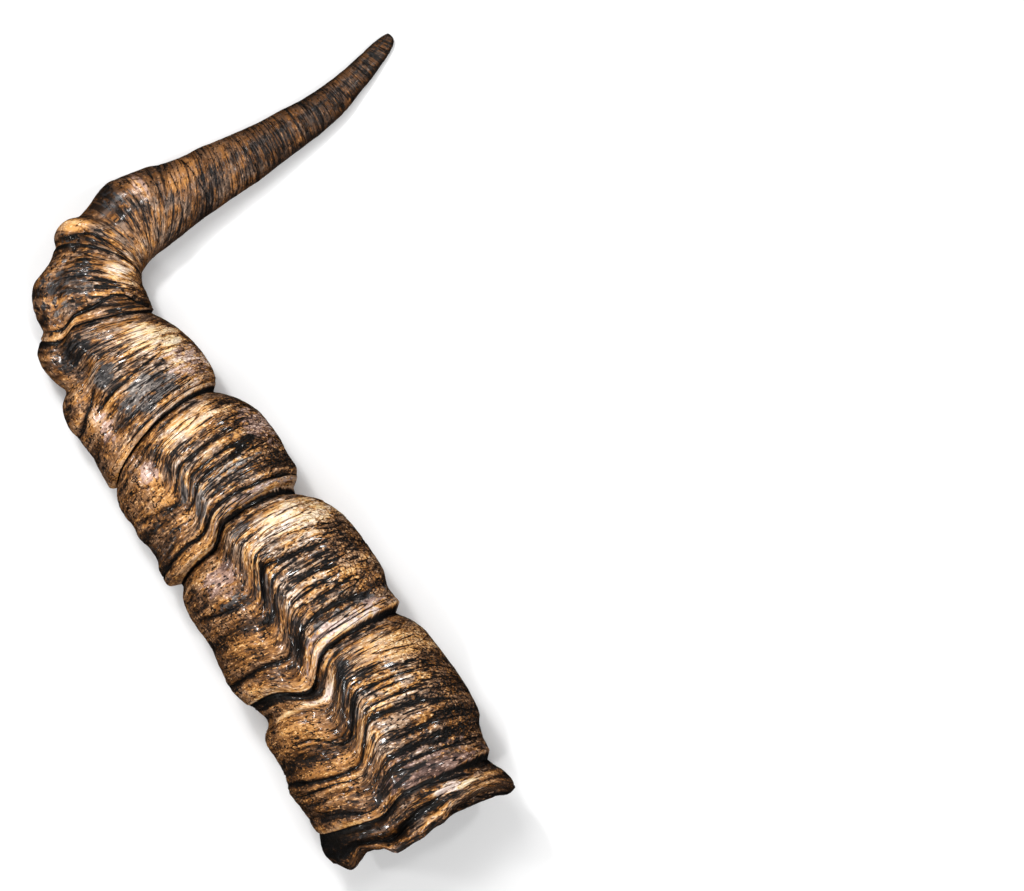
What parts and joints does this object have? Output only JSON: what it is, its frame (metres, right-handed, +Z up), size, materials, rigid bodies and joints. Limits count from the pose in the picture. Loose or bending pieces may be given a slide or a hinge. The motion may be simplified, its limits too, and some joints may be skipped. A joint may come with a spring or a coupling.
{
  "type": "ibex horn",
  "caption": "Curved, ringed animal horn with a knobbed front edge, a hollow base with a ragged rim and a smooth tapering tip, lying on its side.",
  "frame": {"origin": "centre of the horn's box at the level of the surface it lies on", "axes": "+Z up from the surface the horn lies on, +Y from the base towards the tip end, +X towards the inside of the curve"},
  "size_m": [0.242, 0.4182, 0.0755],
  "materials": {
    "horn": "dark golden brown horn with a dull polish, near black growth grooves and slate grey patches"
  },
  "bodies": {
    "root": {"horn": "horn"}
  },
  "joints": []
}
